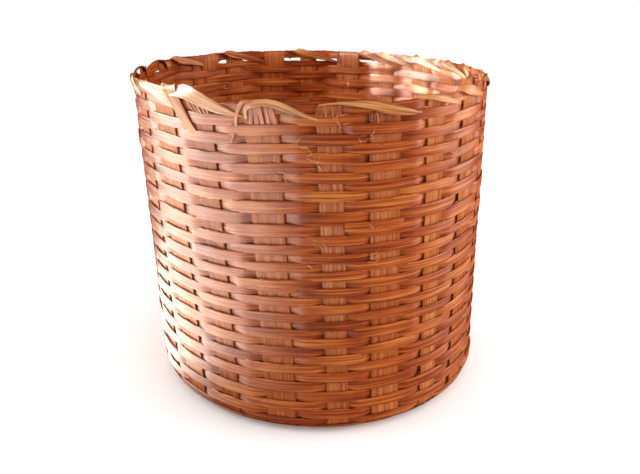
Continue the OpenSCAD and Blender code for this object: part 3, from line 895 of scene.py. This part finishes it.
# Matt white paper, even and without a mirror image. Glow is light that only the camera sees and that grows
# with the distance from the basket, so that the floor meets the white behind it without an edge and still
# shows the basket's own shade.
def paperMaterial(name):
    material = bpy.data.materials.new(name)
    material.use_nodes = True
    tree = material.node_tree
    tree.nodes.clear()
    path = addNode(tree, "ShaderNodeLightPath", (-600, 0))
    place = addNode(tree, "ShaderNodeNewGeometry", (-1000, -200))
    distance = addNode(tree, "ShaderNodeVectorMath", (-800, -200), {0: place.outputs["Position"]},
                       operation="LENGTH")
    reach = addNode(tree, "ShaderNodeMapRange", (-600, -200), {"Value": distance.outputs["Value"]},
                    {"From Min": table["glowFrom"], "From Max": table["glowTo"],
                     "To Min": 0, "To Max": table["glow"]})
    light = addNode(tree, "ShaderNodeMath", (-400, 0),
                    {0: path.outputs["Is Camera Ray"], 1: reach.outputs[0]}, operation="MULTIPLY")
    shader = addNode(tree, "ShaderNodeBsdfPrincipled", (-200, 0), {"Emission Strength": light.outputs[0]},
                     {"Base Color": linear(table["colour"]), "Roughness": table["roughness"],
                      "Specular IOR Level": table["gloss"], "Emission Color": (1, 1, 1, 1)})
    addNode(tree, "ShaderNodeOutputMaterial", (100, 0), {"Surface": shader.outputs[0]})
    return material


half = table["half"]
floorMesh = bpy.data.meshes.new("floor")
corners = [(-half, -half, 0), (half, -half, 0), (half, half, 0), (-half, half, 0)]
floorMesh.from_pydata(corners, [], [(0, 1, 2, 3)])
floorMesh.materials.append(paperMaterial("mattPaper"))
floor = bpy.data.objects.new("floor", floorMesh)
bpy.context.scene.collection.objects.link(floor)
# without this the satin sides mirror the bright floor from the rim down
floor.visible_glossy = False

# Soft light from all around, and white where the camera sees past the floor
room = {"light": 0.54, "backdrop": 1.0, "white": (1, 1, 1, 1)}
world = bpy.data.worlds.new("studio")
bpy.context.scene.world = world
world.use_nodes = True
tree = world.node_tree
tree.nodes.clear()
path = addNode(tree, "ShaderNodeLightPath", (-600, 300))
soft = addNode(tree, "ShaderNodeBackground", (-300, 0), None,
               {"Color": room["white"], "Strength": room["light"]})
white = addNode(tree, "ShaderNodeBackground", (-300, -200), None,
                {"Color": room["white"], "Strength": room["backdrop"]})
mix = addNode(tree, "ShaderNodeMixShader", (50, 0),
              {0: path.outputs["Is Camera Ray"], 1: soft.outputs[0], 2: white.outputs[0]})
addNode(tree, "ShaderNodeOutputWorld", (200, 0), {"Surface": mix.outputs[0]})
# the satin mirrors only the paper and the panes, as it would in a room hung with dark cloth
world.cycles_visibility.glossy = False

# Cards are soft and brighten a side without a mirror image of themselves, panes are only seen mirrored in
# the satin, and a beam does both. Colours are linear, and spreads are in degrees.
lamps = {
    "fill": {"kind": "card", "place": (1.0, -0.1, 0.45), "target": (0, 0, 0.12), "size": (0.8, 0.8),
             "watts": 8, "colour": (1, 0.97, 0.93)},
    "key": {"kind": "card", "place": (-0.8, -0.2, 0.6), "target": (0, 0, 0.15), "size": (0.4, 0.4),
            "watts": 2, "colour": (1, 1, 1)},
    "over": {"kind": "card", "place": (0.1, -0.45, 1.0), "target": (0, 0, 0.2), "size": (0.6, 0.6),
             "watts": 1.5, "colour": (1, 1, 1)},
    "behind": {"kind": "card", "place": (-0.75, 0.5, 0.5), "target": (0, 0, 0.15), "size": (0.7, 0.7),
               "watts": 1.5, "colour": (1, 0.96, 0.88)},
    # shines over the left of the rim on the far side of the inside
    "mouth": {"kind": "beam", "place": (-0.47, -0.06, 0.5), "target": (0.12, 0.04, 0.21),
              "size": (0.12, 0.12), "watts": 0.17, "colour": (0.9, 1, 1), "spread": 35},
    "glint": {"kind": "pane", "place": (-0.38, 0.05, 0.335), "target": (0.12, 0.09, 0.215),
              "size": (0.3, 0.05), "watts": 1.25, "colour": (0.92, 1, 0.95), "spread": 30},
    "paper": {"kind": "pane", "place": (-0.77, -0.55, 0.004), "target": (-0.77, -0.55, 1),
              "size": (1.3, 1.3), "watts": 86, "colour": (0.92, 1, 0.9)},
    "pane": {"kind": "pane", "place": (-0.9, 0.05, 0.5), "target": (0, 0, 0.22), "size": (0.7, 0.5),
             "watts": 50, "colour": (0.94, 1, 0.9)},
    "paneRight": {"kind": "pane", "place": (1.0, 0.15, 0.3), "target": (0, 0, 0.14), "size": (0.6, 0.4),
                  "watts": 10, "colour": (1, 0.94, 0.8)},
}


def addLamp(name, lamp):
    lampData = bpy.data.lights.new(name, "AREA")
    lampData.shape = "RECTANGLE"
    lampData.size, lampData.size_y = lamp["size"]
    lampData.energy = lamp["watts"]
    lampData.color = lamp["colour"]
    lampData.spread = math.radians(lamp.get("spread", 180))
    lampObject = bpy.data.objects.new(name, lampData)
    bpy.context.scene.collection.objects.link(lampObject)
    lampObject.location = lamp["place"]
    aim = Vector(lamp["target"]) - Vector(lamp["place"])
    lampObject.rotation_euler = aim.to_track_quat("-Z", "Y").to_euler()
    lampObject.visible_camera = False
    lampObject.visible_glossy = lamp["kind"] != "card"
    lampObject.visible_diffuse = lamp["kind"] != "pane"


for name, lamp in lamps.items():
    addLamp(name, lamp)

# place in metres, angles in degrees, and the lens in mm on a 36 mm sensor
camera = {"place": (0.0064, -0.540, 0.3107), "down": 21.297, "roll": 0.682, "lens": 39.094, "sensor": 36}
cameraData = bpy.data.cameras.new("camera")
cameraData.sensor_width = camera["sensor"]
cameraData.lens = camera["lens"]
cameraData.clip_start = 0.01
cameraObject = bpy.data.objects.new("camera", cameraData)
bpy.context.scene.collection.objects.link(cameraObject)
down = math.radians(camera["down"])
roll = math.radians(camera["roll"])
forward = Vector((0, math.cos(down), -math.sin(down)))
right = Vector((1, 0, 0))
up = Vector((0, math.sin(down), math.cos(down)))
rolledRight = math.cos(roll) * right + math.sin(roll) * up
rolledUp = math.cos(roll) * up - math.sin(roll) * right
turned = Matrix((rolledRight, rolledUp, -forward)).transposed().to_4x4()
cameraObject.matrix_world = Matrix.Translation(camera["place"]) @ turned
bpy.context.scene.camera = cameraObject
bpy.context.scene.view_settings.view_transform = "Standard"
print("stage set")
